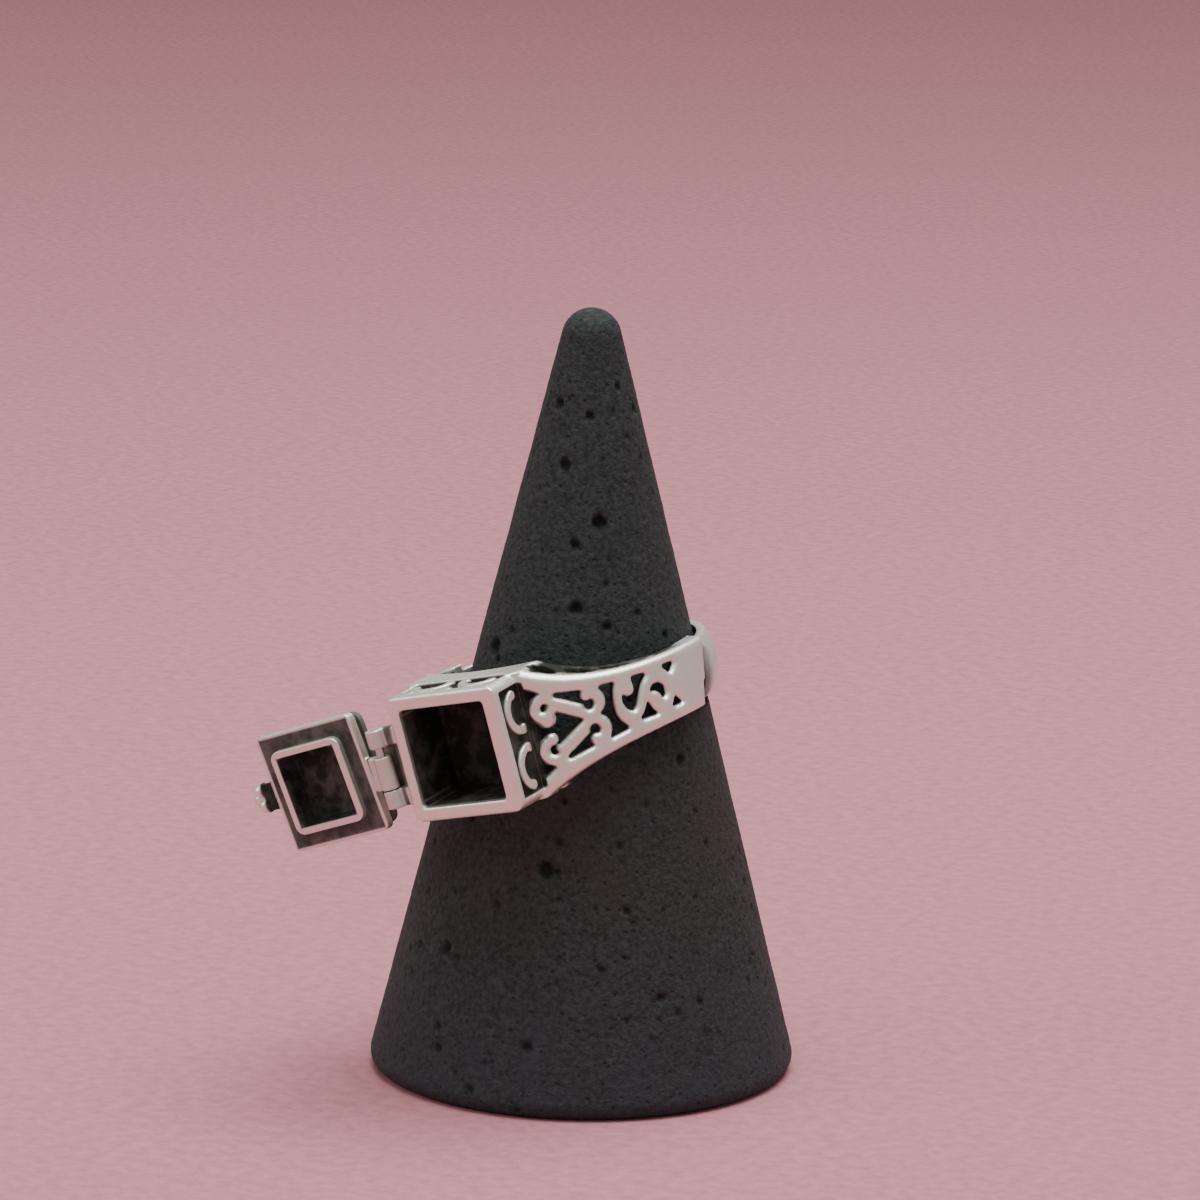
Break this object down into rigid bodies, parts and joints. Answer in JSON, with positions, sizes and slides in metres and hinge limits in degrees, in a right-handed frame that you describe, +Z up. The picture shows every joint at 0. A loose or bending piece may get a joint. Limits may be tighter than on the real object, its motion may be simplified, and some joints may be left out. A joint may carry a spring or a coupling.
{
  "type": "poison ring on cone stand",
  "caption": "Poison ring with an open square box, a hinged lid and pierced scroll shoulders, set on a plain stone display cone.",
  "frame": {"origin": "centre of the cone's foot, on the surface that it stands on", "axes": "+Z up along the cone's axis, the box's mouth faces -Y, and the open lid lies towards -X"},
  "size_m": [0.0335, 0.0326, 0.0554],
  "materials": {
    "stone": "fine matt, with small pits",
    "silver": "polished silver, darkened in the recesses",
    "dark_silver": "oxidised silver",
    "lid_silver": "oxidised silver with polished edges"
  },
  "bodies": {
    "ring_on_cone": {"cone_stand": "stone", "ring": "silver", "hinge_pin": "dark_silver"},
    "lid": {"lid": "lid_silver"}
  },
  "joints": [
    {"name": "lid_hinge", "type": "hinge", "parent": "ring_on_cone", "child": "lid", "pos_m": [-0.00673, -0.01634, 0.02461], "axis": [-0.2924, -0.1091, 0.9501], "range_deg": [0, 181.5]}
  ]
}
